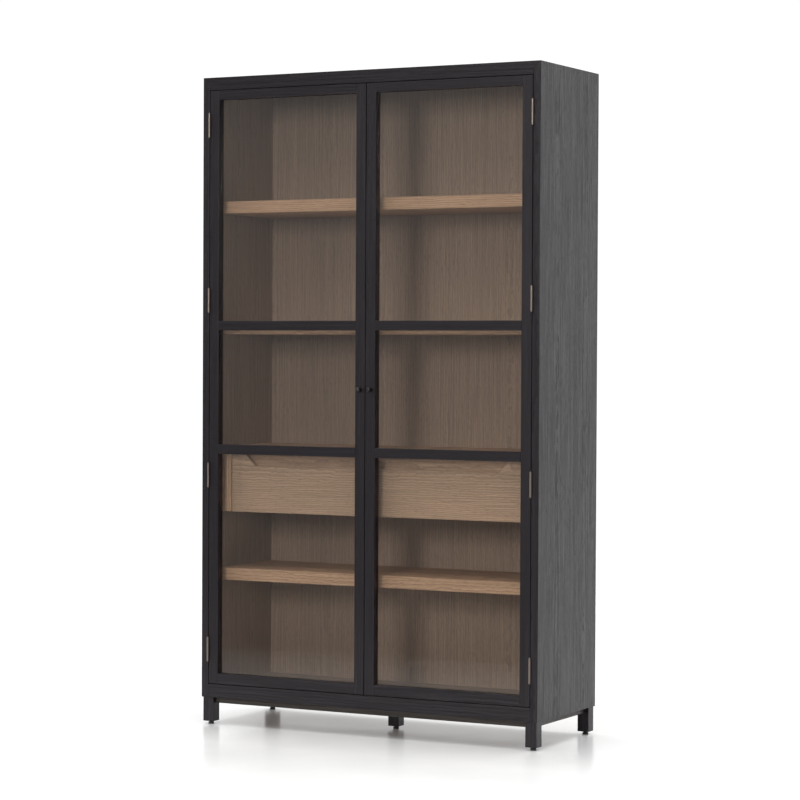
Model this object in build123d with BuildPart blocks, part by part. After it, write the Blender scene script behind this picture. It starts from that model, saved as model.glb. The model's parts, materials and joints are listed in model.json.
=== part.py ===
from build123d import *
import os

# A tall apothecary cabinet in solid oak: an open-fronted case behind two glazed, inset doors.
# X runs from left to right, Y from the front to the back and Z up. The origin is on the floor,
# under the middle of the whole object. All sizes are in millimetres.

os.makedirs("parts", exist_ok=True)

# ---------------------------------------------------------------- driving dimensions

# Case
case_width = 1200.0
case_depth = 434.0
case_height = 2002.0
side_thick = 24.0
top_thick = 24.0
bottom_thick = 39.0
back_thick = 12.0
back_recess = 24.0          # rear edge of the case to the rear face of the back panel
back_groove = 6.0           # how far the back panel is let into each side
head_rail_height = 16.5
sill_height = 43.0
edge_ease = 0.8             # softened arris on the wooden pieces

# Base
base_height = 88.0
leg_size = 38.0
leg_inset = 4.0
apron_height = 19.0
apron_thick = 18.0
apron_recess = 18.0
glide_height = 10.0
glide_radius = 9.25
glide_neck_radius = 6.0
glide_pad_height = 6.0
glide_stem_radius = 4.0
glide_stem_length = 25.0

# Shelves: heights of their top faces above the underside of the case
shelf_thick = 39.0
shelf_setback = 60.0
lower_shelf_top = 417.0
middle_shelf_top = 1215.0
upper_shelf_top = 1606.0
housing_depth = 8.0         # how far a shelf is let into each side

# Drawer unit
unit_top = 813.0
unit_board_thick = 25.0
drawer_bay_height = 187.3
filler_width = 50.5
filler_thick = 20.0
cheek_thick = 18.0
drawer_front_thick = 20.0
drawer_wall = 14.0
drawer_cross_wall = 12.0
drawer_bottom_thick = 8.0
drawer_lift = 4.0           # lower edge of the drawer box above that of its front
drawer_bottom_height = 8.0  # lower edge of the box to its bottom board
drawer_groove = 6.0
notch_depth = 35.0
notch_margin = 87.0         # end of the drawer front to the flat bottom of its notch
runner_height = 15.0
runner_engagement = 6.0
runner_level = 90.0         # lower edge of the drawer front to the runner
runner_short = 18.0         # how far the runner stops short of the back panel
drawer_rear_space = 10.0

# Doors
door_thick = 28.0
stile_width = 34.5
top_rail_height = 29.5
bottom_rail_height = 33.5
muntin_height = 30.5
lower_muntin_bottom = 789.0
upper_muntin_bottom = 1187.5
rebate_width = 10.0
front_lip = 14.0            # wood in front of the glass
glass_thick = 4.0
tenon_thick = 8.0
tenon_length = 20.0
tenon_shoulder = 4.0
stop_thick = 12.0
stop_height = 30.0

# Hinges and knobs
hinge_count = 4
hinge_height = 76.0
hinge_end_margin = 111.0    # end of the door to the middle of the nearest hinge
leaf_thick = 1.5
leaf_width = 22.0
leaf_gap = 0.4
knuckle_radius = 3.5
pin_radius = 2.0
pin_tip_radius = 2.8
pin_tip_height = 2.0
pin_tip_ease = 0.6
knob_radius = 8.25
knob_reach = 19.0
knob_stem_radius = 3.5
knob_rose_radius = 6.0
knob_rose_height = 1.5
knob_spigot_radius = 2.0
knob_spigot_length = 20.0
knob_edge_distance = 17.4   # meeting edge of the door to the knob's centre

# Clearances
door_gap = 2.0
drawer_side_gap = 2.5
drawer_top_gap = 2.5
runner_clear = 1.0
fit_clear = 0.1             # glued wooden joints and let-in pieces
bore_clear = 0.05           # radial, for a pin or a spigot in its bore
knuckle_clear = 0.3
barrel_stand_off = 0.2
glass_clear = 1.0
stop_clear = 0.4
drawer_bottom_clear = 0.5

# ---------------------------------------------------------------- derived places

half_width = case_width / 2
inner_half = half_width - side_thick
front = -(case_depth - knob_reach) / 2
rear = front + case_depth
case_bottom = base_height
case_top = case_bottom + case_height
inner_top = case_top - top_thick
rail_back = front + door_thick
shelf_front = front + shelf_setback
panel_rear = rear - back_recess
panel_front = panel_rear - back_thick

door_bottom = case_bottom + sill_height + door_gap
door_top = inner_top - head_rail_height - door_gap
door_outer = inner_half - door_gap
door_inner = door_gap / 2
opening_outer = door_outer - stile_width
opening_inner = door_inner + stile_width

unit_board_bottom = case_bottom + unit_top - unit_board_thick
drawer_foot = unit_board_bottom - drawer_bay_height
filler_inner = inner_half - filler_width
filler_back = shelf_front + filler_thick
drawer_half = filler_inner - drawer_side_gap
drawer_top = unit_board_bottom - drawer_top_gap
drawer_front_back = shelf_front + drawer_front_thick
drawer_rear = panel_front - drawer_rear_space
box_inner_half = drawer_half - drawer_wall
box_foot = drawer_foot + drawer_lift
box_floor = box_foot + drawer_bottom_height
box_floor_top = box_floor + drawer_bottom_thick
runner_bottom = drawer_foot + runner_level
runner_top = runner_bottom + runner_height

barrel_x = inner_half - door_gap / 2
barrel_y = front - knuckle_radius - barrel_stand_off
bore_radius = pin_radius + bore_clear
knuckle_length = hinge_height / 3
hinge_pitch = (door_top - door_bottom - 2 * hinge_end_margin) / (hinge_count - 1)
hinge_levels = [door_bottom + hinge_end_margin + i * hinge_pitch for i in range(hinge_count)]
knob_x = door_inner + knob_edge_distance
knob_z = (door_bottom + door_top) / 2

lower_muntin = (case_bottom + lower_muntin_bottom, case_bottom + lower_muntin_bottom + muntin_height)
upper_muntin = (case_bottom + upper_muntin_bottom, case_bottom + upper_muntin_bottom + muntin_height)
bottom_rail = (door_bottom, door_bottom + bottom_rail_height)
top_rail = (door_top - top_rail_height, door_top)
door_rails = {
    "bottom_rail": bottom_rail,
    "lower_muntin": lower_muntin,
    "upper_muntin": upper_muntin,
    "top_rail": top_rail,
}
door_panes = {
    "lower_pane": (bottom_rail[1], lower_muntin[0]),
    "middle_pane": (lower_muntin[1], upper_muntin[0]),
    "upper_pane": (upper_muntin[1], top_rail[0]),
}
tenon_front = front + (front_lip - tenon_thick) / 2

# ---------------------------------------------------------------- helpers


def keep(piece, name):
    """Label a finished piece and write it to its own file."""
    piece.part.label = name
    export_step(piece.part, f"parts/{name}.step")


def span(hand, a, b):
    """The X limits of a piece between two distances from the middle, on the given hand."""
    return tuple(sorted((hand * a, hand * b)))


def middle(limits):
    return (limits[0] + limits[1]) / 2


def size(limits):
    return limits[1] - limits[0]


def board(across, along, up, ease=edge_ease):
    """A square board between its X, Y and Z limits, with its arrises softened."""
    with BuildPart() as piece:
        with BuildSketch(Plane.XY.offset(up[0])):
            with Locations((middle(across), middle(along))):
                Rectangle(size(across), size(along))
        extrude(amount=size(up))
        if ease:
            chamfer(piece.edges(), ease)
    return piece


def strips(limits_list):
    """Several square strips that share one node, each between its X, Y and Z limits."""
    with BuildPart() as piece:
        for across, along, up in limits_list:
            with BuildSketch(Plane.XY.offset(up[0])):
                with Locations((middle(across), middle(along))):
                    Rectangle(size(across), size(along))
            extrude(amount=size(up))
    return piece


# ---------------------------------------------------------------- case

# Every board that is let into the sides, as the Z limits of its housing.
housings = [
    (case_bottom + lower_shelf_top - shelf_thick, case_bottom + lower_shelf_top),
    (unit_board_bottom, case_bottom + unit_top),
    (case_bottom + middle_shelf_top - shelf_thick, case_bottom + middle_shelf_top),
    (case_bottom + upper_shelf_top - shelf_thick, case_bottom + upper_shelf_top),
]


def case_side(hand):
    """A side: mitred to the top, housed for the shelves, grooved for the back, let in for hinges."""
    outer = hand * half_width
    inner = hand * inner_half
    with BuildPart() as side:
        with BuildSketch(Plane.XZ.offset(-front)):
            with BuildLine():
                Polyline(
                    (outer, case_bottom),
                    (outer, case_top),
                    (inner, inner_top),
                    (inner, case_bottom),
                    close=True,
                )
            make_face()
        extrude(amount=-case_depth)
        fillet(side.edges().filter_by(Axis.Z), edge_ease)
        housed = span(hand, inner_half, inner_half + housing_depth)
        for low, high in housings:
            with BuildSketch(Plane.XY.offset(low)):
                with Locations((middle(housed), (shelf_front + panel_rear) / 2)):
                    Rectangle(size(housed), panel_rear - shelf_front)
            extrude(amount=high - low, mode=Mode.SUBTRACT)
        grooved = span(hand, inner_half, inner_half + back_groove + fit_clear)
        with BuildSketch(Plane.XY.offset(case_bottom)):
            with Locations((middle(grooved), (panel_front + panel_rear) / 2)):
                Rectangle(size(grooved), back_thick)
        extrude(amount=inner_top - case_bottom, mode=Mode.SUBTRACT)
        let_in = span(hand, inner_half - leaf_thick, barrel_x + leaf_gap / 2 + leaf_thick)
        for level in hinge_levels:
            with BuildSketch(Plane.XY.offset(level - hinge_height / 2 - fit_clear)):
                with Locations((middle(let_in), front + (leaf_width + fit_clear) / 2)):
                    Rectangle(size(let_in), leaf_width + fit_clear)
            extrude(amount=hinge_height + 2 * fit_clear, mode=Mode.SUBTRACT)
    return side


keep(case_side(-1), "left_side")
keep(case_side(1), "right_side")

with BuildPart() as top_panel:
    with BuildSketch(Plane.XZ.offset(-front)):
        with BuildLine():
            Polyline(
                (-half_width, case_top),
                (half_width, case_top),
                (inner_half, inner_top),
                (-inner_half, inner_top),
                close=True,
            )
        make_face()
    extrude(amount=-case_depth)
keep(top_panel, "top_panel")

case_inside = (-inner_half, inner_half)
floor_up = (case_bottom, case_bottom + bottom_thick)
keep(board(case_inside, (rail_back, panel_front), floor_up, 0), "bottom_panel")
keep(board(case_inside, (front, rail_back), (case_bottom, case_bottom + sill_height)), "sill_rail")
keep(board(case_inside, (front, rail_back), (inner_top - head_rail_height, inner_top)), "head_rail")

back_half = inner_half + back_groove
keep(board((-back_half, back_half), (panel_front, panel_rear), (case_bottom, inner_top), 0), "back_panel")

stop_front = rail_back + stop_clear
stop_up = (inner_top - stop_height, inner_top)
keep(board(case_inside, (stop_front, stop_front + stop_thick), stop_up), "door_stop")

# ---------------------------------------------------------------- shelves

shelf_half = inner_half + housing_depth - fit_clear
for shelf_name, shelf_top in (
    ("lower_shelf", lower_shelf_top),
    ("middle_shelf", middle_shelf_top),
    ("upper_shelf", upper_shelf_top),
):
    shelf_up = (case_bottom + shelf_top - shelf_thick, case_bottom + shelf_top)
    with BuildPart() as shelf:
        with BuildSketch(Plane.XY.offset(shelf_up[0])):
            with Locations((0, (shelf_front + panel_front) / 2)):
                Rectangle(2 * shelf_half, panel_front - shelf_front)
        extrude(amount=shelf_thick)
        chamfer(shelf.edges().filter_by(Axis.X).group_by(Axis.Y)[0], edge_ease)
    keep(shelf, shelf_name)

# ---------------------------------------------------------------- drawer unit

unit_half = inner_half + housing_depth - fit_clear
unit_board_up = (unit_board_bottom, case_bottom + unit_top)
keep(board((-unit_half, unit_half), (shelf_front, panel_front), unit_board_up, 0), "drawer_top_board")

bay_up = (drawer_foot, unit_board_bottom)
for hand, side_name in ((-1, "left"), (1, "right")):
    filler_across = span(hand, filler_inner, inner_half)
    keep(board(filler_across, (shelf_front, filler_back), bay_up), f"{side_name}_drawer_filler")
    cheek_across = span(hand, filler_inner, filler_inner + cheek_thick)
    keep(board(cheek_across, (filler_back, panel_front), bay_up, 0), f"{side_name}_drawer_cheek")

runner_along = (filler_back, panel_front - runner_short)
runner_inner = drawer_half - runner_engagement
runner_up = (runner_bottom, runner_top)
runners = [(span(hand, runner_inner, filler_inner), runner_along, runner_up) for hand in (-1, 1)]
keep(strips(runners), "drawer_runners")

# The drawer front has one long notch in its top edge, its ends sloping out at 45 degrees.
notch_floor = drawer_top - notch_depth
notch_half = drawer_half - notch_margin
with BuildPart() as drawer_front:
    with BuildSketch(Plane.XZ.offset(-shelf_front)):
        with BuildLine():
            Polyline(
                (-drawer_half, drawer_foot),
                (drawer_half, drawer_foot),
                (drawer_half, drawer_top),
                (notch_half + notch_depth, drawer_top),
                (notch_half, notch_floor),
                (-notch_half, notch_floor),
                (-notch_half - notch_depth, drawer_top),
                (-drawer_half, drawer_top),
                close=True,
            )
        make_face()
    extrude(amount=-drawer_front_thick)
    chamfer(drawer_front.edges().group_by(Axis.Y)[0], edge_ease)
keep(drawer_front, "drawer_front")

bottom_half = box_inner_half + drawer_groove - drawer_bottom_clear
for hand, side_name in ((-1, "left"), (1, "right")):
    wall = span(hand, box_inner_half, drawer_half)
    runner_slot = span(hand, runner_inner - runner_clear, drawer_half)
    bottom_slot = span(hand, box_inner_half, box_inner_half + drawer_groove)
    with BuildPart() as drawer_side:
        with BuildSketch(Plane.XY.offset(box_foot)):
            with Locations((middle(wall), (drawer_front_back + drawer_rear) / 2)):
                Rectangle(drawer_wall, drawer_rear - drawer_front_back)
        extrude(amount=drawer_top - box_foot)
        with BuildSketch(Plane.XY.offset(runner_bottom - runner_clear)):
            with Locations((middle(runner_slot), (drawer_front_back + drawer_rear) / 2)):
                Rectangle(size(runner_slot), drawer_rear - drawer_front_back)
        extrude(amount=runner_height + runner_clear, mode=Mode.SUBTRACT)
        with BuildSketch(Plane.XY.offset(box_floor)):
            with Locations((middle(bottom_slot), (drawer_front_back + drawer_rear) / 2)):
                Rectangle(size(bottom_slot), drawer_rear - drawer_front_back)
        extrude(amount=drawer_bottom_thick, mode=Mode.SUBTRACT)
    keep(drawer_side, f"drawer_{side_name}_side")

box_across = (-box_inner_half, box_inner_half)
box_up = (box_floor_top, drawer_top)
keep(
    board(box_across, (drawer_front_back, drawer_front_back + drawer_cross_wall), box_up, 0),
    "drawer_box_front",
)
keep(board(box_across, (drawer_rear - drawer_cross_wall, drawer_rear), box_up, 0), "drawer_back")
keep(
    board((-bottom_half, bottom_half), (drawer_front_back, drawer_rear), (box_floor, box_floor_top), 0),
    "drawer_bottom",
)

# ---------------------------------------------------------------- base

leg_offset = leg_inset + leg_size / 2
leg_places = {
    "front_left_leg": (-half_width + leg_offset, front + leg_offset),
    "front_right_leg": (half_width - leg_offset, front + leg_offset),
    "back_left_leg": (-half_width + leg_offset, rear - leg_offset),
    "back_right_leg": (half_width - leg_offset, rear - leg_offset),
    "centre_leg": (0, (front + rear) / 2),
}
for leg_name, place in leg_places.items():
    with BuildPart() as leg:
        with BuildSketch(Plane.XY.offset(glide_height)):
            with Locations(place):
                Rectangle(leg_size, leg_size)
        extrude(amount=case_bottom - glide_height)
        chamfer(leg.edges().filter_by(Axis.Z), edge_ease)
        with BuildSketch(Plane.XY.offset(glide_height)):
            with Locations(place):
                Circle(glide_stem_radius + bore_clear)
        extrude(amount=glide_stem_length + fit_clear, mode=Mode.SUBTRACT)
    keep(leg, leg_name)

with BuildPart() as glides:
    for place in leg_places.values():
        with BuildSketch():
            with Locations(place):
                Circle(glide_radius)
        extrude(amount=glide_pad_height)
        with BuildSketch(Plane.XY.offset(glide_pad_height)):
            with Locations(place):
                Circle(glide_neck_radius)
        extrude(amount=glide_height - glide_pad_height)
        with BuildSketch(Plane.XY.offset(glide_height)):
            with Locations(place):
                Circle(glide_stem_radius)
        extrude(amount=glide_stem_length)
    pad_rims = glides.edges().filter_by(GeomType.CIRCLE).filter_by(lambda rim: rim.radius == glide_radius)
    chamfer(pad_rims, edge_ease)
keep(glides, "levelling_glides")

apron_up = (case_bottom - apron_height, case_bottom)
apron_x_half = half_width - leg_inset - leg_size
apron_across = (-apron_x_half, apron_x_half)
apron_along = (front + leg_inset + leg_size, rear - leg_inset - leg_size)
front_apron_along = (front + apron_recess, front + apron_recess + apron_thick)
back_apron_along = (rear - apron_recess - apron_thick, rear - apron_recess)
keep(board(apron_across, front_apron_along, apron_up), "front_apron")
keep(board(apron_across, back_apron_along, apron_up), "back_apron")
for hand, side_name in ((-1, "left"), (1, "right")):
    side_apron_across = span(hand, half_width - apron_recess - apron_thick, half_width - apron_recess)
    keep(board(side_apron_across, apron_along, apron_up), f"{side_name}_apron")

# ---------------------------------------------------------------- hinges


def hinge_leaves(hand, on_door):
    """One leaf of each hinge: the case leaf has the two outer knuckles, the door leaf the middle one."""
    side = -1 if on_door else 1
    leaf = span(hand, barrel_x + side * leaf_gap / 2, barrel_x + side * (leaf_gap / 2 + leaf_thick))
    leaf_front = barrel_y + (bore_radius + knuckle_radius) / 2
    leaf_back = front + leaf_width
    with BuildPart() as leaves:
        for level in hinge_levels:
            low = level - hinge_height / 2
            thirds = [low + i * knuckle_length for i in range(3)]
            own = thirds[1:2] if on_door else thirds[::2]
            others = thirds[::2] if on_door else thirds[1:2]
            with BuildSketch(Plane.XY.offset(low)):
                with Locations((middle(leaf), (leaf_front + leaf_back) / 2)):
                    Rectangle(leaf_thick, leaf_back - leaf_front)
            extrude(amount=hinge_height)
            for start in others:
                with BuildSketch(Plane.XY.offset(start - knuckle_clear / 2)):
                    with Locations((hand * barrel_x, barrel_y)):
                        Circle(knuckle_radius + knuckle_clear)
                extrude(amount=knuckle_length + knuckle_clear, mode=Mode.SUBTRACT)
            for start in own:
                gap_below = knuckle_clear / 2 if start > low else 0
                gap_above = knuckle_clear / 2 if start < thirds[2] else 0
                with BuildSketch(Plane.XY.offset(start + gap_below)):
                    with Locations((hand * barrel_x, barrel_y)):
                        Circle(knuckle_radius)
                extrude(amount=knuckle_length - gap_below - gap_above)
            with BuildSketch(Plane.XY.offset(low)):
                with Locations((hand * barrel_x, barrel_y)):
                    Circle(bore_radius)
            extrude(amount=hinge_height, mode=Mode.SUBTRACT)
    return leaves


for hand, side_name in ((-1, "left"), (1, "right")):
    keep(hinge_leaves(hand, False), f"{side_name}_case_leaves")
    keep(hinge_leaves(hand, True), f"{side_name}_door_leaves")

with BuildPart() as hinge_pins:
    for hand in (-1, 1):
        for level in hinge_levels:
            low = level - hinge_height / 2
            with BuildSketch(Plane.XY.offset(low)):
                with Locations((hand * barrel_x, barrel_y)):
                    Circle(pin_radius)
            extrude(amount=hinge_height)
            for tip in (low - pin_tip_height, low + hinge_height):
                with BuildSketch(Plane.XY.offset(tip)):
                    with Locations((hand * barrel_x, barrel_y)):
                        Circle(pin_tip_radius)
                extrude(amount=pin_tip_height)
    rims = hinge_pins.edges().filter_by(GeomType.CIRCLE)
    tip_rims = rims.filter_by(lambda rim: rim.radius == pin_tip_radius)
    chamfer(tip_rims, pin_tip_ease)
keep(hinge_pins, "hinge_pins")

# ---------------------------------------------------------------- doors


def door_stile(hand, outer, inner):
    """A stile from its outer to its inner edge, rebated behind for the glass and mortised for the rails."""
    inward = 1 if inner > outer else -1
    rebate_edge = inner - inward * rebate_width
    mortise = span(hand, inner, inner - inward * (tenon_length + fit_clear))
    with BuildPart() as stile:
        with BuildSketch(Plane.XY.offset(door_bottom)):
            with BuildLine():
                Polyline(
                    (hand * outer, front),
                    (hand * inner, front),
                    (hand * inner, front + front_lip),
                    (hand * rebate_edge, front + front_lip),
                    (hand * rebate_edge, rail_back),
                    (hand * outer, rail_back),
                    close=True,
                )
            make_face()
        extrude(amount=door_top - door_bottom)
        chamfer(stile.edges().group_by(Axis.Y)[0], edge_ease)
        for low, high in door_rails.values():
            with BuildSketch(Plane.XY.offset(low + tenon_shoulder - fit_clear)):
                with Locations((middle(mortise), tenon_front + tenon_thick / 2)):
                    Rectangle(size(mortise), tenon_thick + 2 * fit_clear)
            extrude(amount=high - low - 2 * (tenon_shoulder - fit_clear), mode=Mode.SUBTRACT)
    return stile


def hinge_stile(hand):
    """The stile on the case side, let in for the four door leaves."""
    with BuildPart() as stile:
        add(door_stile(hand, door_outer, opening_outer).part)
        let_in = span(hand, barrel_x - leaf_gap / 2 - leaf_thick, door_outer + leaf_thick)
        for level in hinge_levels:
            with BuildSketch(Plane.XY.offset(level - hinge_height / 2 - fit_clear)):
                with Locations((middle(let_in), front + (leaf_width + fit_clear) / 2)):
                    Rectangle(size(let_in), leaf_width + fit_clear)
            extrude(amount=hinge_height + 2 * fit_clear, mode=Mode.SUBTRACT)
    return stile


def lock_stile(hand):
    """The meeting stile, bored for the knob's spigot."""
    with BuildPart() as stile:
        add(door_stile(hand, door_inner, opening_inner).part)
        with BuildSketch(Plane.XZ.offset(-front)):
            with Locations((hand * knob_x, knob_z)):
                Circle(knob_spigot_radius + bore_clear)
        extrude(amount=-(knob_spigot_length + fit_clear), mode=Mode.SUBTRACT)
    return stile


def door_rail(hand, up, rebated_below, rebated_above):
    """A rail between the stiles: a long shoulder behind fills their rebates, and a tenon enters each."""
    front_up = up
    behind_up = (
        up[0] + (rebate_width if rebated_below else 0),
        up[1] - (rebate_width if rebated_above else 0),
    )
    tenon_up = (up[0] + tenon_shoulder, up[1] - tenon_shoulder)
    layers = [
        (0, (front, front + front_lip), front_up),
        (rebate_width, (front + front_lip, rail_back), behind_up),
        (tenon_length, (tenon_front, tenon_front + tenon_thick), tenon_up),
    ]
    with BuildPart() as rail:
        for reach, along, layer_up in layers:
            across = span(hand, opening_inner - reach, opening_outer + reach)
            with BuildSketch(Plane.XY.offset(layer_up[0])):
                with Locations((middle(across), middle(along))):
                    Rectangle(size(across), size(along))
            extrude(amount=size(layer_up))
        chamfer(rail.edges().filter_by(Axis.X).group_by(Axis.Y)[0], edge_ease)
    return rail


def glazing_beads(hand):
    """The beads that hold each pane from behind: two across and two upright."""
    beads = []
    along = (front + front_lip + glass_thick, rail_back)
    for low, high in door_panes.values():
        outside = (opening_inner - rebate_width, opening_outer + rebate_width)
        for up in ((low - rebate_width, low), (high, high + rebate_width)):
            beads.append((span(hand, *outside), along, up))
        for edges in ((outside[0], opening_inner), (opening_outer, outside[1])):
            beads.append((span(hand, *edges), along, (low + fit_clear, high - fit_clear)))
    return strips(beads)


def door_knob(hand):
    """A ball knob on a short stem and a rose, with a spigot into the stile."""
    centre = Plane(origin=(hand * knob_x, front, knob_z), x_dir=(1, 0, 0), z_dir=(0, 0, -1))
    ball_centre = knob_reach - knob_radius
    ball_foot = ball_centre - (knob_radius**2 - knob_stem_radius**2) ** 0.5
    with BuildPart() as knob:
        with BuildSketch(centre):
            with BuildLine():
                Polyline(
                    (0, knob_reach),
                    (0, -knob_spigot_length),
                    (knob_spigot_radius, -knob_spigot_length),
                    (knob_spigot_radius, 0),
                    (knob_rose_radius, 0),
                    (knob_rose_radius, knob_rose_height),
                    (knob_stem_radius, knob_rose_height),
                    (knob_stem_radius, ball_foot),
                )
                ThreePointArc((knob_stem_radius, ball_foot), (knob_radius, ball_centre), (0, knob_reach))
            make_face()
        revolve(axis=Axis((hand * knob_x, front, knob_z), (0, -1, 0)))
    return knob


for hand, side_name in ((-1, "left"), (1, "right")):
    keep(hinge_stile(hand), f"{side_name}_hinge_stile")
    keep(lock_stile(hand), f"{side_name}_lock_stile")
    for rail_name, rail_up in door_rails.items():
        rail = door_rail(hand, rail_up, rail_name != "bottom_rail", rail_name != "top_rail")
        keep(rail, f"{side_name}_{rail_name}")
    pane_reach = rebate_width - glass_clear
    pane_along = (front + front_lip, front + front_lip + glass_thick)
    for pane_name, (low, high) in door_panes.items():
        pane_across = span(hand, opening_inner - pane_reach, opening_outer + pane_reach)
        pane = board(pane_across, pane_along, (low - pane_reach, high + pane_reach), 0)
        keep(pane, f"{side_name}_{pane_name}")
    keep(glazing_beads(hand), f"{side_name}_glazing_beads")
    keep(door_knob(hand), f"{side_name}_knob")
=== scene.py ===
# %% [markdown]
# # A tall apothecary cabinet in black and weathered oak
#
# The real cabinet is an oak case on short square legs, stained black outside and left grey-brown
# inside, closed by two glazed doors. Its boards, rails, panes and hinges are already cut to size in
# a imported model, so this lesson doesn't cut wood. It loads those pieces as a fixed frame and gives
# each one the surface it has on the real object: grain, pores, stain, satin metal and clear glass.

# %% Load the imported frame
import json
import math

import bmesh
import bpy
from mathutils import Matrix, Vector


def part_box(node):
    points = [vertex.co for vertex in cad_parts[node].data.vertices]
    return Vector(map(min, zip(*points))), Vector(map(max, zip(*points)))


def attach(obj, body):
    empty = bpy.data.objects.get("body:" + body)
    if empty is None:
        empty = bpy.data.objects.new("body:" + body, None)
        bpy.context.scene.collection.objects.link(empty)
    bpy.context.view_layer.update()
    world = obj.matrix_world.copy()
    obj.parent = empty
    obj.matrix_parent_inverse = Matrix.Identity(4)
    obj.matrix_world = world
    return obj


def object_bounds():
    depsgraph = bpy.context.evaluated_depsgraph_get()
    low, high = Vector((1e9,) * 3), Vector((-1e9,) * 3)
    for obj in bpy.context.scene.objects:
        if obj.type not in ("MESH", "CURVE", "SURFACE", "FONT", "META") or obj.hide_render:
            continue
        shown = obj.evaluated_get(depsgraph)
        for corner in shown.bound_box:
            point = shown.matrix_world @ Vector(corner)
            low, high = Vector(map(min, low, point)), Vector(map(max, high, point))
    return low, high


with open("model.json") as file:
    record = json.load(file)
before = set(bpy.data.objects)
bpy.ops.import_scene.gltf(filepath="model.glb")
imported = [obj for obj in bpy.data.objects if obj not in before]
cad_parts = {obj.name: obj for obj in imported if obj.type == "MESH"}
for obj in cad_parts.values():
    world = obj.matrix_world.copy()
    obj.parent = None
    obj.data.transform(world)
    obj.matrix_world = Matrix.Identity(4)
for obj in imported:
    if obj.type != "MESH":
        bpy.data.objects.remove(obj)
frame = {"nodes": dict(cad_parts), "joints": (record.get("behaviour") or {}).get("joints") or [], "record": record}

cad_box = [list(corner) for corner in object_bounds()]
print("pieces loaded:", len(frame["nodes"]))
print("case stands from", cad_box[0], "to", cad_box[1])

# %% [markdown]
# ## Small tools for building shaders
#
# A shader is a tree of nodes. Making one takes three moves over and over: place a node, set its
# options, and fill its inputs with a number or a wire from another node. One short helper does all
# three, so each finish below reads like a recipe and not like wiring.


# %% Place a node, and shorthands for sums and mixes
def place(tree, kind, inputs=None, **options):
    """Add a node, set its options and fill its inputs with values or other sockets."""
    made = tree.nodes.new(kind)
    for option, value in options.items():
        setattr(made, option, value)
    for socket, value in (inputs or {}).items():
        if isinstance(value, bpy.types.NodeSocket):
            tree.links.new(value, made.inputs[socket])
        else:
            made.inputs[socket].default_value = value
    return made


def calc(tree, operation, *values):
    """The result of a Math node."""
    return place(tree, "ShaderNodeMath", dict(enumerate(values)), operation=operation).outputs[0]


def remap(tree, value, low, high, new_low=0.0, new_high=1.0):
    """The value moved from one range to another, and held inside it."""
    ends = {"Value": value, "From Min": low, "From Max": high, "To Min": new_low, "To Max": new_high}
    return place(tree, "ShaderNodeMapRange", ends).outputs["Result"]


def mix_colour(tree, factor, first, second):
    """Two colours mixed by a factor."""
    sockets = {0: factor, 6: first, 7: second}
    return place(tree, "ShaderNodeMix", sockets, data_type="RGBA").outputs[2]


def stretch(tree, point, amounts):
    """A point multiplied axis by axis, which stretches whatever is drawn from it."""
    return place(tree, "ShaderNodeVectorMath", {0: point, 1: amounts}, operation="MULTIPLY").outputs[0]


def noise(tree, point, scale, detail, inputs=None, **options):
    """A Noise node; gives the node, which has a value and a colour to draw on."""
    sockets = {"Vector": point, "Scale": scale, "Detail": detail, **(inputs or {})}
    return place(tree, "ShaderNodeTexNoise", sockets, **options)


print("helpers ready: place, calc, remap, mix_colour, stretch, noise")

# %% [markdown]
# A finish effect that several materials share, such as oak grain, is best kept in a node group:
# it is built once, has named inputs and outputs, and each material sets its own values on it.


# %% Start a node group with named sockets
def start_group(name, inputs, outputs):
    """A new shader group; gives its tree, its input node and its output node."""
    tree = bpy.data.node_groups.new(name, "ShaderNodeTree")
    for label, kind, value in inputs:
        socket = tree.interface.new_socket(label, in_out="INPUT", socket_type=kind)
        if value is not None:
            socket.default_value = value
    for label, kind in outputs:
        tree.interface.new_socket(label, in_out="OUTPUT", socket_type=kind)
    return tree, place(tree, "NodeGroupInput"), place(tree, "NodeGroupOutput")


def cut_from_tree(tree, given, step):
    """The given place, moved by the seed, so that each piece is cut from its own part of the tree."""
    scaled = {0: step, "Scale": given.outputs["Seed"]}
    shift = place(tree, "ShaderNodeVectorMath", scaled, operation="SCALE").outputs[0]
    both = {0: given.outputs["Place"], 1: shift}
    return place(tree, "ShaderNodeVectorMath", both, operation="ADD").outputs[0]


FLOAT, VECTOR = "NodeSocketFloat", "NodeSocketVector"
print("groups are made with", start_group.__name__, "and", cut_from_tree.__name__)

# %% [markdown]
# ## Oak figure
#
# A tree is a stack of growth rings round a pith. A sawn board is a flat cut through that stack, so
# its face shows the rings as long lines, and as pointed arches where the cut runs almost along a
# ring. A flat picture of grain would repeat and would not turn the corner onto the board's edge.
# Here the rings are worked out in space, as distance from a wandering pith, so every face of a
# board shows the right part of the same tree. The group expects the grain to run along its Z.

# %% Oak figure: which board, and where its pith lies
figure, given, result = start_group(
    "oak figure",
    [
        ("Place", VECTOR, None),
        ("Seed", FLOAT, 0.0),
        ("Board Width", FLOAT, 0.16),
        ("Ring Spacing", FLOAT, 0.005),
    ],
    [("Board Tone", FLOAT), ("Rings", FLOAT), ("Drift", FLOAT)],
)
moved = cut_from_tree(figure, given, (7.31, 3.17, 5.93))
axes = place(figure, "ShaderNodeSeparateXYZ", {0: moved})
across, deep = axes.outputs["X"], axes.outputs["Y"]
board = calc(figure, "FLOOR", calc(figure, "DIVIDE", across, given.outputs["Board Width"]))
chance = place(figure, "ShaderNodeTexWhiteNoise", {"W": board}, noise_dimensions="1D")
luck = place(figure, "ShaderNodeSeparateColor", {0: chance.outputs["Color"]})
middle = calc(figure, "MULTIPLY", calc(figure, "ADD", board, 0.5), given.outputs["Board Width"])
print("boards are picked by", board.node.operation.lower(), "of their distance across")

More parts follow.
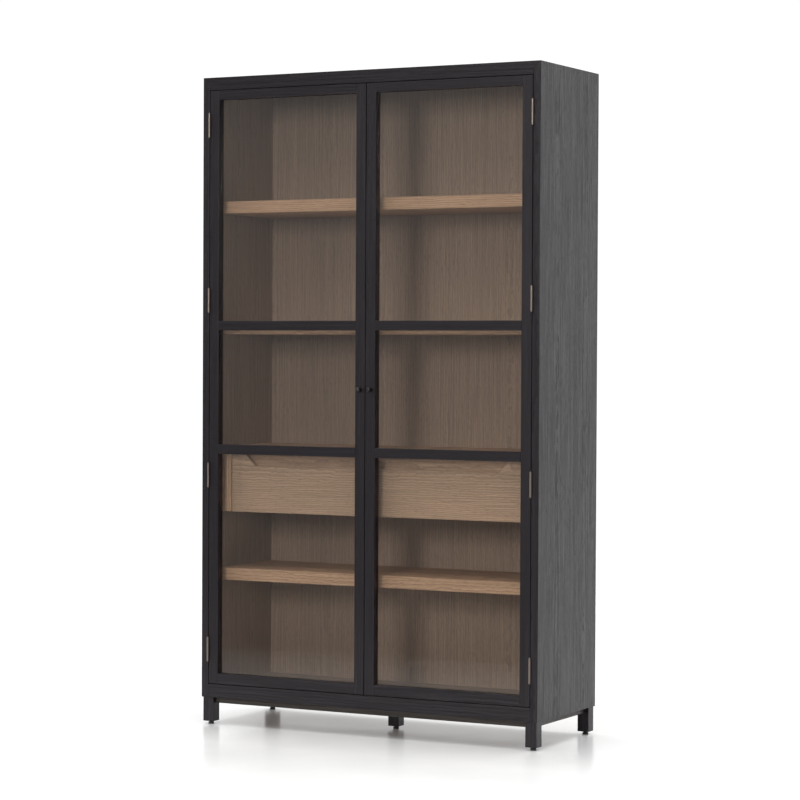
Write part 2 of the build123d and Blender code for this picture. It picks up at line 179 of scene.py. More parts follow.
# %% Oak figure: rings round the pith, pulled about by slow noise
slow = stretch(figure, moved, (5.0, 5.0, 0.9))
board_step = calc(figure, "MULTIPLY", board, 3.7)
drift = noise(figure, slow, 1.0, 2.0, {"W": board_step}, noise_dimensions="4D")
sway = place(figure, "ShaderNodeSeparateColor", {0: drift.outputs["Color"]})
side_sway = calc(figure, "SUBTRACT", sway.outputs[0], 0.5)
deep_sway = calc(figure, "SUBTRACT", sway.outputs[1], 0.5)
off_centre = calc(figure, "MULTIPLY_ADD", luck.outputs[0], 1.6, -0.8)
pith_side = calc(figure, "MULTIPLY", off_centre, given.outputs["Board Width"])
pith_depth = calc(figure, "MULTIPLY_ADD", luck.outputs[1], 0.04, 0.012)
side_gap = calc(figure, "SUBTRACT", calc(figure, "SUBTRACT", across, middle), pith_side)
side_gap = calc(figure, "MULTIPLY_ADD", side_sway, 0.04, side_gap)
into_board = calc(figure, "PINGPONG", deep, 0.06)
deep_gap = calc(figure, "ADD", into_board, pith_depth)
deep_gap = calc(figure, "MULTIPLY_ADD", deep_sway, 0.03, deep_gap)
side_square = calc(figure, "MULTIPLY", side_gap, side_gap)
squares = calc(figure, "MULTIPLY_ADD", deep_gap, deep_gap, side_square)
radius = calc(figure, "SQRT", squares)
quick = stretch(figure, moved, (40.0, 40.0, 24.0))
ripple = noise(figure, quick, 1.0, 2.0)
radius = calc(figure, "MULTIPLY_ADD", ripple.outputs[0], 0.008, radius)
turns = calc(figure, "DIVIDE", radius, given.outputs["Ring Spacing"])
rings = calc(figure, "POWER", calc(figure, "FRACT", turns), 2.5)
figure.links.new(luck.outputs[2], result.inputs["Board Tone"])
figure.links.new(rings, result.inputs["Rings"])
figure.links.new(sway.outputs[2], result.inputs["Drift"])
print("oak figure has", len(figure.nodes), "nodes")

# %% [markdown]
# ## Oak fibre
#
# Between the rings, oak is full of open pores: short dark dashes that run with the grain. On this
# cabinet the outside was scrubbed with a wire brush before it was stained, which digs the soft
# wood out between them. Noise stretched a long way along the grain makes both. A wide, soft layer
# gives the streaks seen from across a room, and a narrow one gives the dashes seen close up.

# %% Oak fibre: streaks, pores and the height they make
fibre, given, result = start_group(
    "oak fibre",
    [("Place", VECTOR, None), ("Seed", FLOAT, 0.0), ("Streak Width", FLOAT, 0.004)],
    [("Streaks", FLOAT), ("Pores", FLOAT), ("Height", FLOAT)],
)
moved = cut_from_tree(fibre, given, (1.91, 8.23, 4.57))
count = calc(fibre, "DIVIDE", 1.0, given.outputs["Streak Width"])
wide = stretch(fibre, moved, (1.0, 1.0, 0.018))
streaks = noise(fibre, wide, count, 3.0, {"Roughness": 0.65})
fine = stretch(fibre, moved, (900.0, 900.0, 45.0))
dashes = noise(fibre, fine, 1.0, 1.0)
pores = remap(fibre, dashes.outputs[0], 0.56, 0.66)
height = calc(fibre, "MULTIPLY_ADD", pores, -0.6, streaks.outputs[0])
fibre.links.new(remap(fibre, streaks.outputs[0], 0.3, 0.7), result.inputs["Streaks"])
fibre.links.new(pores, result.inputs["Pores"])
fibre.links.new(height, result.inputs["Height"])
print("oak fibre has", len(fibre.nodes), "nodes")

# %% [markdown]
# ## Edge wear and painted highlight
#
# Corners are where a stain rubs thin and where a board catches the light. A Bevel node looks a
# short way round each point and gives a softened normal. Where that differs from the flat face's
# own normal there is an edge, and the difference makes a clean mask, broken up here by noise so
# that the wear comes and goes along an arris as it does in use. The finishes lighten their colour
# under this mask, which paints a highlight on the arrises as well as wear.

# %% Edge wear and painted highlight: a mask and a softened normal
edge_wear_and_highlight, given, result = start_group(
    "edge wear",
    [("Radius", FLOAT, 0.0015), ("Patchiness", FLOAT, 0.5)],
    [("Mask", FLOAT), ("Normal", VECTOR)],
)
rounded = place(edge_wear_and_highlight, "ShaderNodeBevel", {"Radius": given.outputs["Radius"]}, samples=4)
surface = place(edge_wear_and_highlight, "ShaderNodeNewGeometry")
normals = {0: rounded.outputs[0], 1: surface.outputs["Normal"]}
turn = place(edge_wear_and_highlight, "ShaderNodeVectorMath", normals, operation="DOT_PRODUCT")
edge = remap(edge_wear_and_highlight, turn.outputs["Value"], 0.99, 0.85)
where = place(edge_wear_and_highlight, "ShaderNodeTexCoord")
patch = noise(edge_wear_and_highlight, where.outputs["Object"], 23.0, 3.0)
patches = remap(edge_wear_and_highlight, patch.outputs[0], given.outputs["Patchiness"], 0.75)
worn_and_highlit = calc(edge_wear_and_highlight, "MULTIPLY", edge, patches)
edge_wear_and_highlight.links.new(worn_and_highlit, result.inputs["Mask"])
edge_wear_and_highlight.links.new(rounded.outputs[0], result.inputs["Normal"])
print("edge wear has", len(edge_wear_and_highlight.nodes), "nodes")

# %% [markdown]
# ## Which way the grain runs
#
# Nobody cuts a rail with its grain across it: wood is strong along the grain, so the grain runs
# along the longest side of every piece, and the board is seen flat across its second side. That
# rule is enough to lay the grain on all the wooden pieces from their sizes alone.


# %% Longest, middle and shortest side of a piece
def grain_order(node):
    """The axes of a piece from its longest side to its shortest, such as "ZXY"."""
    low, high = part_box(node)
    sides = {axis: high[i] - low[i] for i, axis in enumerate("XYZ")}
    return "".join(sorted(sides, key=sides.get, reverse=True))


def grain_place(tree, order):
    """The point on the surface, turned so that the grain runs along Z and the board's face along X."""
    where = place(tree, "ShaderNodeTexCoord")
    parts = place(tree, "ShaderNodeSeparateXYZ", {0: where.outputs["Object"]})
    along, across, deep = (parts.outputs[axis] for axis in order)
    return place(tree, "ShaderNodeCombineXYZ", {"X": across, "Y": deep, "Z": along}).outputs[0]


for node in ("left_side", "drawer_front"):
    print("grain order of", node, "is", grain_order(node))

# %% [markdown]
# ## A bare material
#
# Every finish starts the same way: one surface shader wired to one output, with nothing else in
# the tree. Starting empty, and not from Blender's own first nodes, leaves nothing to hunt for.


# %% A bare material with one surface shader
def bare_material(name):
    """A new material; gives it, its node tree and its Principled shader."""
    material = bpy.data.materials.new(name)
    material.use_nodes = True
    tree = material.node_tree
    tree.nodes.clear()
    shader = place(tree, "ShaderNodeBsdfPrincipled")
    place(tree, "ShaderNodeOutputMaterial", {"Surface": shader.outputs[0]})
    return material, tree, shader


print("bare materials are made by", bare_material.__name__)

# %% [markdown]
# Both oak finishes need the figure and the fibre, laid from the same point with the same seed, or
# the rings and the pores would belong to two different trees.


# %% Place the two oak groups together
def oak_groups(tree, spot, seed, values):
    """The figure and the fibre of one oak, both cut from the same place in the tree."""
    boards = place(tree, "ShaderNodeGroup", {}, node_tree=figure)
    threads = place(tree, "ShaderNodeGroup", {}, node_tree=fibre)
    for group in (boards, threads):
        tree.links.new(spot, group.inputs["Place"])
        tree.links.new(seed, group.inputs["Seed"])
    boards.inputs["Board Width"].default_value = values["board_width"]
    boards.inputs["Ring Spacing"].default_value = values["ring_spacing"]
    threads.inputs["Streak Width"].default_value = values["streak_width"]
    return boards, threads


print("figure and fibre are placed by", oak_groups.__name__)

# %% [markdown]
# ## Black oak
#
# The case and the doors are wire-brushed oak under a black stain and a thin matt lacquer. The
# colour is nearly the same everywhere, so the grain shows by its sheen: brushed grooves scatter
# the light, and the hard ridges between them keep the lacquer and shine a little. The material
# holds the colour close to black, and the height of the brushed surface decides how much lacquer
# lies on it, as a clear coat over the stain. The edges come out a little warmer and lighter, partly
# as rubbed stain and partly as a painted highlight along the arrises.


# %% Black oak
def black_finish(tree, spot, seed, values):
    """Colour, gloss, height and lacquer of stained and wire-brushed oak."""
    boards, brush = oak_groups(tree, spot, seed, values)
    stain = mix_colour(tree, brush.outputs["Streaks"], values["deep"], values["ridge"])
    lines = calc(tree, "MULTIPLY", boards.outputs["Rings"], values["ring_depth"])
    stain = mix_colour(tree, lines, stain, values["deep"])
    low, high = values["roughness"]
    gloss = remap(tree, brush.outputs["Streaks"], 0.0, 1.0, high, low)
    grooves = calc(tree, "MULTIPLY_ADD", boards.outputs["Rings"], -0.6, brush.outputs["Height"])
    lacquer = remap(tree, grooves, 0.05, 0.55, *values["lacquer"])
    return stain, gloss, grooves, lacquer


black_values = {
    "name": "black_oak",
    "deep": (0.0045, 0.002, 0.0042, 1),
    "ridge": (0.016, 0.0110, 0.0155, 1),
    # lighter colour on the arrises: rubbed stain and a painted highlight
    "rubbed": (0.055, 0.047, 0.042, 1),
    "roughness": (0.34, 0.50),
    "board_width": 0.15,
    "ring_spacing": 0.0065,
    "streak_width": 0.0045,
    "ring_depth": 0.6,
    "lacquer": (0.0, 0.45),
    "lacquer_roughness": 0.26,
    "bump": 0.4,
    "sheen": 0.3,
}
brown_values = {
    **black_values,
    "name": "brown_oak",
    "deep": (0.020, 0.015, 0.012, 1),
    "ridge": (0.045, 0.034, 0.028, 1),
}
print("black oak is mixed from", black_values["deep"][:3], "to", black_values["ridge"][:3])

# %% [markdown]
# ## Weathered oak
#
# Inside, the same timber is left pale and greyed, so here the colour does the work. Growth rings
# darken it in lines, each board of the back has its own tone, and pores add short brown dashes.
# Mixing these in order, from large to small, is how a finisher sees a board: the plank first,
# then its figure, then its fibre. The shelves, the drawer front, the box behind it and the lining
# are the same wood, so they share the recipe and change only its values. The front and the lining
# are more or less greyed. The box is painted paler, as painted light in the shaded recess behind
# the drawer's finger notch.


# %% Weathered oak
def weathered_finish(tree, spot, seed, values):
    """Colour, gloss, height and lacquer of greyed bare oak."""
    boards, threads = oak_groups(tree, spot, seed, values)
    plank = mix_colour(tree, boards.outputs["Board Tone"], values["greyer"], values["warmer"])
    cloud = remap(tree, boards.outputs["Drift"], 0.35, 0.65, 0.0, 0.5)
    plank = mix_colour(tree, cloud, plank, values["warmer"])
    lines = calc(tree, "MULTIPLY", boards.outputs["Rings"], values["ring_depth"])
    lined = mix_colour(tree, lines, plank, values["late"])
    depth = remap(tree, threads.outputs["Streaks"], 0.0, 1.0, 0.0, values["streak_depth"])
    streaked = mix_colour(tree, depth, lined, values["late"])
    pores = calc(tree, "MULTIPLY", threads.outputs["Pores"], 0.4)
    wood = mix_colour(tree, pores, streaked, values["pore"])
    low, high = values["roughness"]
    gloss = remap(tree, threads.outputs["Streaks"], 0.0, 1.0, low, high)
    return wood, gloss, threads.outputs["Height"], 0.0


weathered_values = {
    "name": "weathered_oak",
    "greyer": (0.400, 0.238, 0.140, 1),
    "warmer": (0.550, 0.322, 0.182, 1),
    "late": (0.225, 0.126, 0.072, 1),
    "pore": (0.090, 0.055, 0.035, 1),
    "roughness": (0.50, 0.68),
    "board_width": 0.19,
    "ring_spacing": 0.0062,
    "streak_width": 0.0040,
    "ring_depth": 0.95,
    "streak_depth": 0.60,
    # lighter colour on the arrises: rubbed finish and a painted highlight
    "rubbed": (0.36, 0.24, 0.155, 1),
    "bump": 0.2,
    "sheen": 0.35,
}
drawer_values = {
    **weathered_values,
    "name": "drawer_oak",
    "greyer": (0.385, 0.246, 0.157, 1),
    "warmer": (0.540, 0.338, 0.205, 1),
    "late": (0.160, 0.097, 0.061, 1),
    "ring_spacing": 0.0060,
    "ring_depth": 0.7,
}
# The drawer box is painted paler than the drawer front: painted light for the shaded recess seen through the
# finger notch.
box_painted_light_values = {
    **drawer_values,
    "name": "planed_oak",
    "greyer": (0.50, 0.32, 0.205, 1),
    "warmer": (0.69, 0.43, 0.263, 1),
    "ring_depth": 0.5,
}
lining_values = {
    **weathered_values,
    "name": "oak_lining",
    "greyer": (0.292, 0.200, 0.143, 1),
    "warmer": (0.375, 0.252, 0.173, 1),
    "late": (0.170, 0.114, 0.080, 1),
    "ring_depth": 0.5,
    "ring_spacing": 0.0058,
}
print("weathered oak is lit to about", weathered_values["warmer"][:3])

# %% [markdown]
# ## Boards with two faces
#
# The two sides and the top are black outside and bare inside, because the case was stained after
# it was glued up. One piece of wood then needs two finishes. Splitting the board would lie about
# how it is made, so the material asks where on the board it is: behind the doors and between the
# inner faces of the case it shows the lining, and elsewhere the stain.

# %% Where the lining shows
lining_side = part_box("right_side")[0][0]
lining_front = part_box("left_lock_stile")[1][1]
lining_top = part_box("top_panel")[0][2]
for name, value in (("side", lining_side), ("front", lining_front), ("top", lining_top)):
    print("lining starts at", name, round(value, 4), "m")


def lining_mask(tree):
    """One on the inner faces of the case and nought outside it."""
    hair = 0.0003
    where = place(tree, "ShaderNodeTexCoord")
    spot = place(tree, "ShaderNodeSeparateXYZ", {0: where.outputs["Object"]})
    between = calc(tree, "LESS_THAN", calc(tree, "ABSOLUTE", spot.outputs["X"]), lining_side + hair)
    behind = calc(tree, "GREATER_THAN", spot.outputs["Y"], lining_front)
    below = calc(tree, "LESS_THAN", spot.outputs["Z"], lining_top + hair)
    return calc(tree, "MULTIPLY", calc(tree, "MULTIPLY", between, behind), below)


# %% [markdown]
# ## Laying the wood
#
# One material for each finish and grain direction is enough for every board, because each piece
# brings its own seed: Object Info gives a fixed random number to each object, and the groups use
# it to cut the piece from another part of the tree.


# %% One oak material
def add_bump(tree, height, strength, depth, normal=None):
    """The normal of a surface that a height dents, on top of the normal it already has."""
    inputs = {"Height": height, "Strength": strength, "Distance": depth}
    if normal:
        inputs["Normal"] = normal
    return place(tree, "ShaderNodeBump", inputs).outputs[0]


def oak_material(order, finish, values, lining=None):
    """A material with its grain laid in the given order, and a lining on its inner faces if asked."""
    kind = "lined_" if lining else ""
    material, tree, shader = bare_material(f"{kind}{values['name']}_{order.lower()}")
    spot = grain_place(tree, order)
    seed = place(tree, "ShaderNodeObjectInfo").outputs["Random"]
    colour, gloss, height, lacquer = finish(tree, spot, seed, values)
    edges = place(tree, "ShaderNodeGroup", {}, node_tree=edge_wear_and_highlight)
    # lighten the edges: partly rubbed finish, partly a painted highlight along the arrises
    rubbed = calc(tree, "MULTIPLY", edges.outputs["Mask"], 0.5)
    colour = mix_colour(tree, rubbed, colour, values["rubbed"])
    if lining:
        within = lining_mask(tree)
        inner = weathered_finish(tree, spot, seed, lining)
        colour = mix_colour(tree, within, colour, inner[0])
        outer = (gloss, height, lacquer)
        pairs = zip(outer, inner[1:])
        gloss, height, lacquer = [remap(tree, within, 0.0, 1.0, *pair) for pair in pairs]
    if lacquer:
        tree.links.new(lacquer, shader.inputs["Coat Weight"])
        shader.inputs["Coat Roughness"].default_value = values["lacquer_roughness"]
    tree.links.new(colour, shader.inputs["Base Color"])
    tree.links.new(gloss, shader.inputs["Roughness"])
    brushed = add_bump(tree, height, values["bump"], 0.0006, edges.outputs["Normal"])
    tree.links.new(brushed, shader.inputs["Normal"])
    shader.inputs["Specular IOR Level"].default_value = values["sheen"]
    return material


print("oak materials are made by", oak_material.__name__)

# %% Give each wooden piece its finish
wood_finishes = {
    "black_oak": (black_finish, black_values),
    "brown_oak": (black_finish, brown_values),
    "weathered_oak": (weathered_finish, weathered_values),
    "oak_lining": (weathered_finish, lining_values),
    "drawer_oak": (weathered_finish, drawer_values),
    "planed_oak": (weathered_finish, box_painted_light_values),
}
slots = {entry["node"]: entry["material_slot"] for entry in frame["record"]["subparts"]}
two_faced = {"left_side", "right_side", "top_panel"}
drawer_box = ("box_front", "left_side", "right_side", "back", "bottom")
finish_of = {
    **slots,
    "back_panel": "oak_lining",
    "bottom_panel": "oak_lining",
    "drawer_front": "drawer_oak",
    # the drawer box takes the paler oak, painted light for the shaded notch recess
    **{f"drawer_{wall}": "planed_oak" for wall in drawer_box},
}


def dress(node, material):
    """Put one material on a piece in place of what it came with."""
    mesh = frame["nodes"][node].data
    mesh.materials.clear()
    mesh.materials.append(material)


laid = {}
for node, finish in finish_of.items():
    if finish in wood_finishes:
        key = (finish, grain_order(node), node in two_faced)
        if key not in laid:
            lining = lining_values if node in two_faced else None
            laid[key] = oak_material(key[1], *wood_finishes[finish], lining)
        dress(node, laid[key])
print("wooden finishes laid:", sorted(material.name for material in laid.values()))

# %% [markdown]
# ## Clear glass
#
# Each pane is 4 mm float glass. Real glass both mirrors and lets light through, and a renderer
# that traced every lamp through it would need far too many samples to light the shelves behind.
# So the shader asks what kind of ray has arrived. The camera's rays and reflections meet true
# glass, while shadow rays and soft bounced light pass straight on, as they nearly do in life.

# %% Clear glass
clear_glass, tree, pane = bare_material("clear_glass")
pane.inputs["Base Color"].default_value = (0.96, 0.985, 0.975, 1)
pane.inputs["Roughness"].default_value = 0.0
pane.inputs["IOR"].default_value = 1.5
pane.inputs["Transmission Weight"].default_value = 1.0
ray = place(tree, "ShaderNodeLightPath")
passing = calc(tree, "MAXIMUM", ray.outputs["Is Shadow Ray"], ray.outputs["Is Diffuse Ray"])
through = place(tree, "ShaderNodeBsdfTransparent")
either = place(tree, "ShaderNodeMixShader", {0: passing, 1: pane.outputs[0], 2: through.outputs[0]})
output = next(node for node in tree.nodes if node.type == "OUTPUT_MATERIAL")
tree.links.new(either.outputs[0], output.inputs["Surface"])
for node, slot in slots.items():
    if slot == "clear_glass":
        dress(node, clear_glass)
print("panes glazed:", sum(slot == "clear_glass" for slot in slots.values()))

# %% [markdown]
# ## Hinges, knobs and glides
#
# The hinge barrels are satin nickel with a warm cast, turned on a lathe, so their fine scratches
# run round them and show as bands up the barrel. The ball knobs are blackened metal. On both, the
# edges are a little brighter, partly as wear and partly as a painted highlight. The glides under the
# legs are plain moulded plastic.


# %% Satin metal with turning marks
def satin_metal(name, colour, bright, roughness):
    """A turned metal: fine rings across Z in its gloss and bump, and brighter edges that are both wear and a
    painted highlight.
    """
    material, tree, shader = bare_material(name)
    where = place(tree, "ShaderNodeTexCoord")
    rings = stretch(tree, where.outputs["Object"], (60.0, 60.0, 2600.0))
    marks = noise(tree, rings, 1.0, 2.0)
    edges = place(tree, "ShaderNodeGroup", {}, node_tree=edge_wear_and_highlight)
    edges.inputs["Radius"].default_value = 0.0006
    # lighter edges: wear and a painted highlight
    worn_and_highlit = mix_colour(tree, edges.outputs["Mask"], colour, bright)
    tree.links.new(worn_and_highlit, shader.inputs["Base Color"])
    shader.inputs["Metallic"].default_value = 1.0
    gloss = remap(tree, marks.outputs[0], 0.3, 0.7, roughness - 0.08, roughness + 0.08)
    tree.links.new(gloss, shader.inputs["Roughness"])
    turned = add_bump(tree, marks.outputs[0], 0.1, 0.0001, edges.outputs["Normal"])
    tree.links.new(turned, shader.inputs["Normal"])
    return material


# the lighter edge colours are wear and a painted highlight
nickel, worn_and_highlit_nickel = (0.26, 0.215, 0.185, 1), (0.40, 0.34, 0.30, 1)
blackening, worn_and_highlit_blackening = (0.050, 0.047, 0.046, 1), (0.16, 0.15, 0.14, 1)
satin_nickel = satin_metal("satin_nickel", nickel, worn_and_highlit_nickel, 0.38)
blackened_metal = satin_metal("blackened_metal", blackening, worn_and_highlit_blackening, 0.30)
metals = {"hinge_metal": satin_nickel, "knob_metal": blackened_metal}
for node, slot in slots.items():
    if slot in metals:
        dress(node, metals[slot])
print("metals made:", satin_nickel.name, blackened_metal.name)

# %% [markdown]
# The glides are moulded in a mould with a fine pebbled skin, which hides scratches. One small
# noise is enough for it, used three times: for the colour, for the gloss and for the height.

# %% Moulded plastic
glide_plastic, tree, shader = bare_material("glide_plastic")
where = place(tree, "ShaderNodeTexCoord")
pebble = noise(tree, where.outputs["Object"], 1400.0, 2.0).outputs[0]
plastic = mix_colour(tree, pebble, (0.018, 0.018, 0.018, 1), (0.032, 0.031, 0.030, 1))
tree.links.new(plastic, shader.inputs["Base Color"])
tree.links.new(remap(tree, pebble, 0.3, 0.7, 0.42, 0.58), shader.inputs["Roughness"])
tree.links.new(add_bump(tree, pebble, 0.15, 0.0002), shader.inputs["Normal"])
dress("levelling_glides", glide_plastic)
undressed = [node for node in frame["nodes"] if not frame["nodes"][node].data.materials]
print("pieces still bare:", undressed)

# %% [markdown]
# ## Hinge screws
#
# Each leaf is held by three countersunk screws with a cross in their heads. Only the heads can be
# seen, and only with a door open, so that is what is made: a thin disc, a hair proud of the leaf,
# with a cross pressed into it. A punch makes the cross in the real head, so the mesh is cut the
# same way, by filling the face between a circle and a cross and pushing the cross down. The three
# screws in a leaf are staggered, as real ones are, so that they don't split the wood along a line.


# %% One screw head
def cross_outline(reach, half_width):
    """The twelve corners of a cross, in order round it."""
    quarter = [(reach, -half_width), (reach, half_width), (half_width, half_width)]
    turns = ((1, 0), (0, 1), (-1, 0), (0, -1))
    return [(c * x - s * y, s * x + c * y) for c, s in turns for x, y in quarter]


def circle_outline(radius, count):
    """Points evenly round a circle."""
    angles = [math.tau * step / count for step in range(count)]
    return [(radius * math.cos(angle), radius * math.sin(angle)) for angle in angles]


def add_loop(mesh, outline, spot, outward):
    """A closed loop of edges in a plane that faces left or right, at the height of a screw's face."""
    x = spot[0] + outward * head_proud
    dots = [mesh.verts.new((x, spot[1] + y, spot[2] + z)) for y, z in outline]
    return [mesh.edges.new((dots[i - 1], dots[i])) for i in range(len(dots))]


def push(mesh, edges, depth, outward):
    """Walls drawn down from a loop of edges, and a floor across their foot."""
    made = bmesh.ops.extrude_edge_only(mesh, edges=edges)["geom"]
    dots = [item for item in made if isinstance(item, bmesh.types.BMVert)]
    bmesh.ops.translate(mesh, verts=dots, vec=(-outward * depth, 0, 0))
    sides = [item for item in made if isinstance(item, bmesh.types.BMEdge)]
    foot = [side for side in sides if all(dot in dots for dot in side.verts)]
    bmesh.ops.triangle_fill(mesh, edges=foot, use_beauty=True)


def add_head(mesh, spot, outward):
    """One screw head with its cross."""
    rim = add_loop(mesh, head_outline, spot, outward)
    cross = add_loop(mesh, head_cross, spot, outward)
    bmesh.ops.triangle_fill(mesh, edges=rim + cross, use_beauty=True)
    push(mesh, rim, head_depth, outward)
    push(mesh, cross, cross_depth, outward)


head_radius, head_proud, head_depth, cross_depth = 0.003, 0.0001, 0.0006, 0.00008
head_outline = circle_outline(head_radius, 24)
head_cross = cross_outline(0.0017, 0.0004)
print("screw head is", head_radius * 2000, "mm across")

# %% [markdown]
# A row of four leaves shares one mesh of twelve heads. The rows on the case stay with the case and
# the rows on a door ride on that door, so that a head never leaves its own leaf.


# %% Screws on the case and the doors
def leaf_levels(low_z, high_z):
    """The heights of the middles of the four leaves in a row."""
    first, last = low_z + leaf_height / 2, high_z - leaf_height / 2
    return [first + (last - first) * step / 3 for step in range(4)]


def add_screws(leaves, body, pin_x, outward):
    """All the screw heads of one row of leaves, as a piece that rides on their body."""
    leaf_low, leaf_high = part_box(leaves)
    mesh = bmesh.new()
    for level in leaf_levels(leaf_low[2], leaf_high[2]):
        for rise, inset in screw_spots:
            spot = (pin_x - outward * leaf_face, leaf_high[1] - inset, level + rise)
            add_head(mesh, spot, outward)
    bmesh.ops.recalc_face_normals(mesh, faces=mesh.faces)
    screw_mesh = bpy.data.meshes.new(leaves.replace("leaves", "screws"))
    mesh.to_mesh(screw_mesh)
    mesh.free()
    screw_mesh.materials.append(satin_nickel)
    screws = bpy.data.objects.new(screw_mesh.name, screw_mesh)
    bpy.context.scene.collection.objects.link(screws)
    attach(screws, body)
    print("screw heads on", leaves, "face", "left" if outward < 0 else "right")


leaf_height = 0.076
leaf_face = 0.0002
screw_spots = ((-0.026, 0.0045), (0.0, 0.0095), (0.026, 0.0045))
pins = {joint["name"]: joint["pos_m"][0] for joint in frame["joints"]}
for side, sign in (("left", -1), ("right", 1)):
    pin_x = pins[f"{side}_door_hinge"]
    add_screws(f"{side}_case_leaves", "case", pin_x, -sign)
    add_screws(f"{side}_door_leaves", f"{side}_door", pin_x, sign)

# %% [markdown]
# ## Floor
#
# The cabinet stands on a pale, slightly glossy studio floor. Seen at a low angle such a floor
# mirrors a good part of what stands on it, softly, and that is what joins the legs to the ground.
# It is stage, not cabinet.

# %% A sheet of floor
low, high = (Vector(corner) for corner in cad_box)
floor_front, floor_back, floor_side = low.y - 1.9, high.y + 7.0, 7.0
corners = [
    (-floor_side, floor_front, low.z),
    (floor_side, floor_front, low.z),
    (floor_side, floor_back, low.z),
    (-floor_side, floor_back, low.z),
]
floor_mesh = bpy.data.meshes.new("studio_floor")
floor_mesh.from_pydata(corners, [], [(0, 1, 2, 3)])
studio_floor = bpy.data.objects.new("studio_floor", floor_mesh)
bpy.context.scene.collection.objects.link(studio_floor)
print("floor at height", low.z)

# %% [markdown]
# Glass mirrors the floor in front of it, and a bright floor with a hard edge would draw a stripe
# across the lower panes. A studio hand lays black cloth in front of the cabinet, just out of
# view. Here the paint itself fades to dark towards the front, and a glow that only the camera's
# own rays can see puts the white back, so the floor looks even but lights the doors like cloth.

# %% Floor paint
floor_paint, tree, shader = bare_material("floor_paint")
where = place(tree, "ShaderNodeTexCoord").outputs["Object"]
smear = noise(tree, where, 3.0, 3.0).outputs[0]
tree.links.new(remap(tree, smear, 0.3, 0.7, 0.20, 0.26), shader.inputs["Roughness"])
depth = place(tree, "ShaderNodeSeparateXYZ", {0: where}).outputs["Y"]
far = remap(tree, depth, low.y - 0.5, floor_front)
pale = mix_colour(tree, far, (0.86, 0.86, 0.855, 1), (0.08, 0.08, 0.08, 1))
tree.links.new(pale, shader.inputs["Base Color"])
near = remap(tree, depth, low.y, low.y - 0.3, 0.0, 0.17)
glow = calc(tree, "MULTIPLY_ADD", far, 0.85, near)
seen = place(tree, "ShaderNodeLightPath").outputs["Is Camera Ray"]
tree.links.new(calc(tree, "MULTIPLY", seen, glow), shader.inputs["Emission Color"])
shader.inputs["Emission Strength"].default_value = 1.0
floor_mesh.materials.append(floor_paint)
print("floor paint has", len(tree.nodes), "nodes")

# %% [markdown]
# ## Light
#
# The room is a white studio. Its walls are the main light, and the black lacquer shows them: the
# side of the case looks lighter than its front only because it mirrors a brighter wall. The world
# is therefore bright behind the cabinet and dim in front, most of all low down, where the black
# front would mirror it. The camera itself sees plain white all round.

# %% White room
world = bpy.data.worlds.new("white_studio")
bpy.context.scene.world = world
world.use_nodes = True
tree = world.node_tree
tree.nodes.clear()
heading = place(tree, "ShaderNodeTexCoord")
compass = place(tree, "ShaderNodeSeparateXYZ", {0: heading.outputs["Generated"]})
front_light = remap(tree, compass.outputs["Z"], -0.15, 0.15, 0.06, 0.46)
turned = calc(tree, "MULTIPLY_ADD", compass.outputs["X"], -0.5, compass.outputs["Y"])
behind = remap(tree, turned, -0.75, 0.35)
wall_light = remap(tree, behind, 0.0, 1.0, front_light, 1.05)
seen = place(tree, "ShaderNodeLightPath")
brightness = calc(tree, "MAXIMUM", wall_light, seen.outputs["Is Camera Ray"])
room = place(tree, "ShaderNodeBackground", {"Color": (1, 1, 1, 1), "Strength": brightness})
place(tree, "ShaderNodeOutputWorld", {"Surface": room.outputs[0]})
print("walls glow from 0.06 low in front to 1.05 behind")

# %% [markdown]
# One softbox nearly in front of the doors lights the shelves through the glass and gives the black
# front its lighter top. A faint wide one, higher and nearer, opens the shadows under the boards,
# and a broad soft sun stands for a white ceiling and keeps the floor and the top evenly lit.


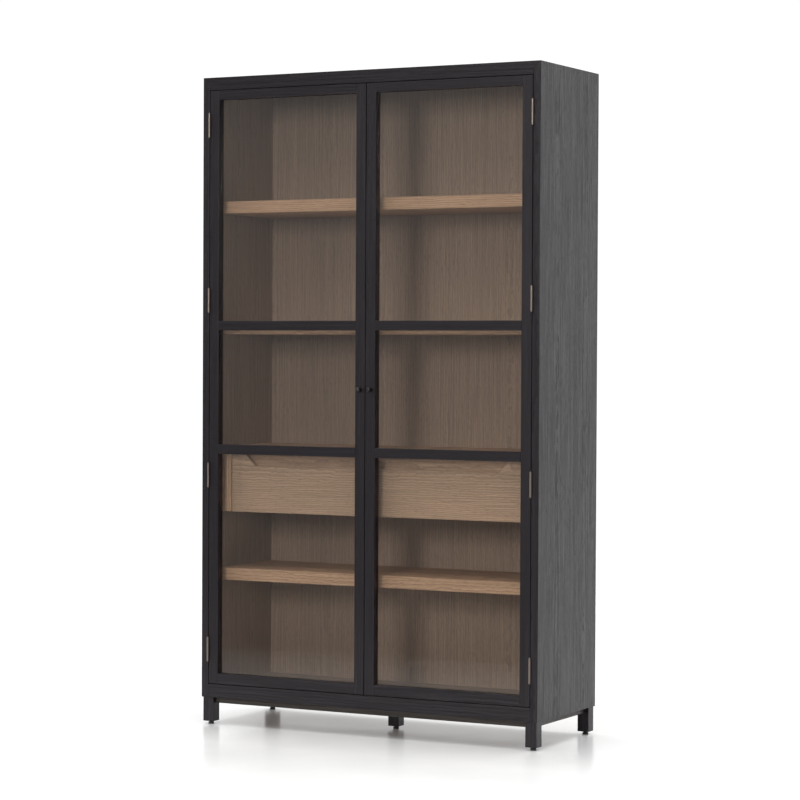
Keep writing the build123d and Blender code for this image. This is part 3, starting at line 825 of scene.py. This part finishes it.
# %% Softboxes
def softbox(name, spot, aim, width, height, watts):
    """A rectangular lamp at a spot, turned to face what it lights."""
    lamp = bpy.data.lights.new(name, "AREA")
    lamp.shape = "RECTANGLE"
    lamp.size = width
    lamp.size_y = height
    lamp.energy = watts
    lamp_object = bpy.data.objects.new(name, lamp)
    lamp_object.location = spot
    lamp_object.rotation_euler = (Vector(aim) - Vector(spot)).to_track_quat("-Z", "Y").to_euler()
    bpy.context.scene.collection.objects.link(lamp_object)


centre = (low + high) / 2
key_angle = math.radians(6)
key_distance = 6.5
key_spot = (
    centre.x + key_distance * math.sin(key_angle),
    low.y - key_distance * math.cos(key_angle),
    high.z + 0.1,
)
softbox("front_softbox", key_spot, centre, 1.4, 1.4, 120)
high_spot = (centre.x + 0.3, low.y - 2.2, high.z + 1.6)
softbox("high_softbox", high_spot, (centre.x, low.y, high.z * 0.6), 2.4, 1.2, 18)
ceiling = bpy.data.lights.new("ceiling_glow", "SUN")
ceiling.energy = 1.7
ceiling.angle = math.radians(50)
ceiling_object = bpy.data.objects.new("ceiling_glow", ceiling)
ceiling_object.location = (centre.x, centre.y, high.z + 2.0)
bpy.context.scene.collection.objects.link(ceiling_object)
print("lamps:", [lamp.name for lamp in bpy.data.lights])

# %% [markdown]
# ## Camera
#
# A long lens, well back and at about breast height, keeps the tall case from leaning. The camera
# looks from the right of the front, almost level, with the faintest roll, and nothing is out of
# focus. The Standard view keeps white paint white, where a film-like one would grey it.

# %% Camera
camera_data = bpy.data.cameras.new("camera")
camera_data.lens = 117.19
camera_data.sensor_width = 36.0
camera_data.clip_end = 100.0
camera = bpy.data.objects.new("camera", camera_data)
bpy.context.scene.collection.objects.link(camera)
camera.location = (3.9272, -7.3479, 1.2077)
swing, tilt, roll = math.radians(28.04), math.radians(-1.05), math.radians(0.273)
view = Vector((-math.sin(swing) * math.cos(tilt), math.cos(swing) * math.cos(tilt), math.sin(tilt)))
camera.rotation_euler = view.to_track_quat("-Z", "Y").to_euler()
camera.rotation_euler.rotate_axis("Z", roll)
bpy.context.scene.camera = camera
bpy.context.scene.view_settings.view_transform = "Standard"
print("camera stands", round((camera.location - centre).length, 2), "m from the middle of the case")
